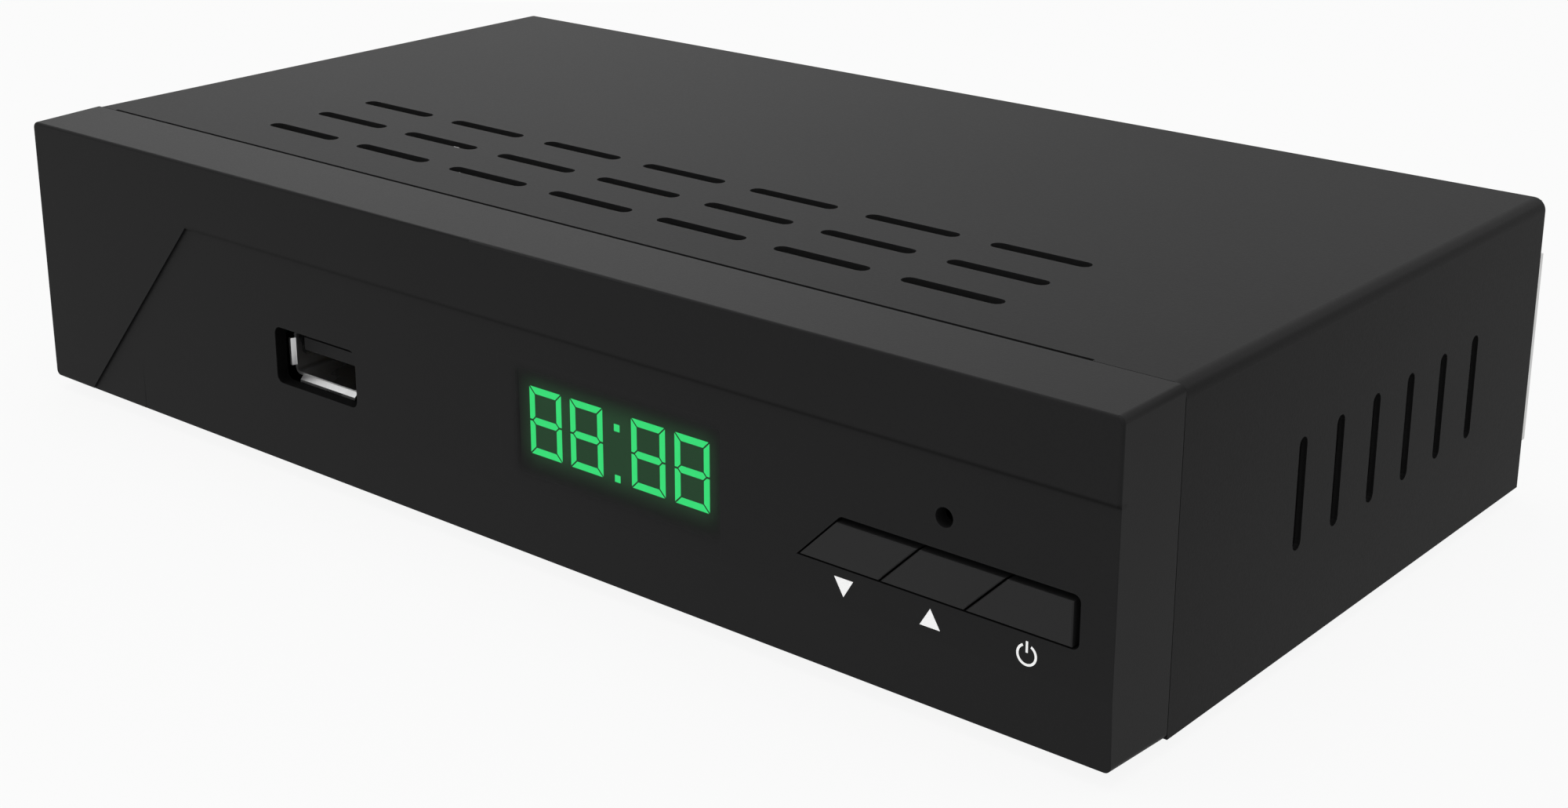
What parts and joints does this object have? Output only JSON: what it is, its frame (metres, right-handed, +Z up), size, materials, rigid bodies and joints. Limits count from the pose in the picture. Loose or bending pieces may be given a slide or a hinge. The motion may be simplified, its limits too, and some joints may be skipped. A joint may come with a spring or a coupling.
{
  "type": "satellite tv receiver",
  "caption": "Low black box receiver: vented sheet cover, moulded front with green digit display, USB socket, push buttons, and rear aerial, video, audio and power sockets.",
  "frame": {"origin": "centre of the box that bounds the part, on the surface that its feet stand on", "axes": "+X to the viewer's right when facing the front, +Y from the front to the back, +Z up"},
  "size_m": [0.17, 0.104, 0.038],
  "materials": {
    "black_sheet": "fine matt black paint on folded sheet",
    "bare_steel": "bare galvanised sheet",
    "black_plastic": "fine matt moulded plastic",
    "smoked_window": "smoked plastic, flush and matt like the front round it",
    "module_black": "matt black module face",
    "green_segment": "lit green segments",
    "board_green": "green board lacquer",
    "zinc_screw": "zinc-plated steel",
    "switch_black": "black moulded plastic",
    "eye_black": "dark infrared-clear plastic",
    "bright_steel": "bright plated steel",
    "gold_contact": "gold-plated contacts",
    "brass_spacer": "turned brass",
    "tinned_steel": "tinned sheet",
    "nickel": "nickel plate",
    "white_insulator": "white insulator",
    "orange_plastic": "orange moulded plastic",
    "chip_black": "moulded chip body",
    "dull_aluminium": "anodised aluminium",
    "can_sleeve": "dark sleeve",
    "coil_grey": "ferrite grey",
    "foot_rubber": "soft black rubber",
    "black_button": "fine matt moulded plastic",
    "plunger_plastic": "grey-black plunger"
  },
  "bodies": {
    "case": {"top_cover": "black_sheet", "bottom_chassis": "black_sheet", "rear_panel": "bare_steel", "front_bezel": "black_plastic", "display_window": "smoked_window", "led_display": "module_black", "display_segments": "green_segment", "front_board": "board_green", "front_board_screws": "zinc_screw", "tact_switches": "switch_black", "ir_receiver": "eye_black", "usb_shell": "bright_steel", "usb_tongue": "switch_black", "usb_contacts": "gold_contact", "main_board": "board_green", "board_standoffs": "brass_spacer", "board_screws": "zinc_screw", "link_strip": "switch_black", "link_pins": "gold_contact", "tuner_can": "tinned_steel", "lnb_socket": "nickel", "lnb_insulator": "white_insulator", "lnb_nut": "nickel", "scart_socket": "switch_black", "scart_contacts": "gold_contact", "hdmi_shell": "bright_steel", "hdmi_tongue": "switch_black", "audio_jack": "orange_plastic", "audio_ring": "nickel", "dc_jack": "switch_black", "dc_pin": "nickel", "main_processor": "chip_black", "heatsink": "dull_aluminium", "memory_chips": "chip_black", "capacitors": "can_sleeve", "inductors": "coil_grey", "crystal": "tinned_steel", "rear_screws": "zinc_screw", "rubber_feet": "foot_rubber"},
    "down_button_body": {"down_button": "black_button"},
    "down_plunger_body": {"down_plunger": "plunger_plastic"},
    "up_button_body": {"up_button": "black_button"},
    "up_plunger_body": {"up_plunger": "plunger_plastic"},
    "power_button_body": {"power_button": "black_button"},
    "power_plunger_body": {"power_plunger": "plunger_plastic"}
  },
  "joints": [
    {"name": "down_button_press", "type": "slide", "parent": "case", "child": "down_button_body", "axis": [0, 1, 0], "range_m": [0, 0.0004], "stiffness_N_per_m": 2500, "springref_m": -0.0004},
    {"name": "down_plunger_press", "type": "slide", "parent": "case", "child": "down_plunger_body", "axis": [0, 1, 0], "range_m": [0, 0.0004]},
    {"name": "up_button_press", "type": "slide", "parent": "case", "child": "up_button_body", "axis": [0, 1, 0], "range_m": [0, 0.0004], "stiffness_N_per_m": 2500, "springref_m": -0.0004},
    {"name": "up_plunger_press", "type": "slide", "parent": "case", "child": "up_plunger_body", "axis": [0, 1, 0], "range_m": [0, 0.0004]},
    {"name": "power_button_press", "type": "slide", "parent": "case", "child": "power_button_body", "axis": [0, 1, 0], "range_m": [0, 0.0004], "stiffness_N_per_m": 2500, "springref_m": -0.0004},
    {"name": "power_plunger_press", "type": "slide", "parent": "case", "child": "power_plunger_body", "axis": [0, 1, 0], "range_m": [0, 0.0004]}
  ],
  "couplings": [
    {"joint": "down_plunger_press", "follows": "down_button_press", "ratio": 1},
    {"joint": "up_plunger_press", "follows": "up_button_press", "ratio": 1},
    {"joint": "power_plunger_press", "follows": "power_button_press", "ratio": 1}
  ]
}
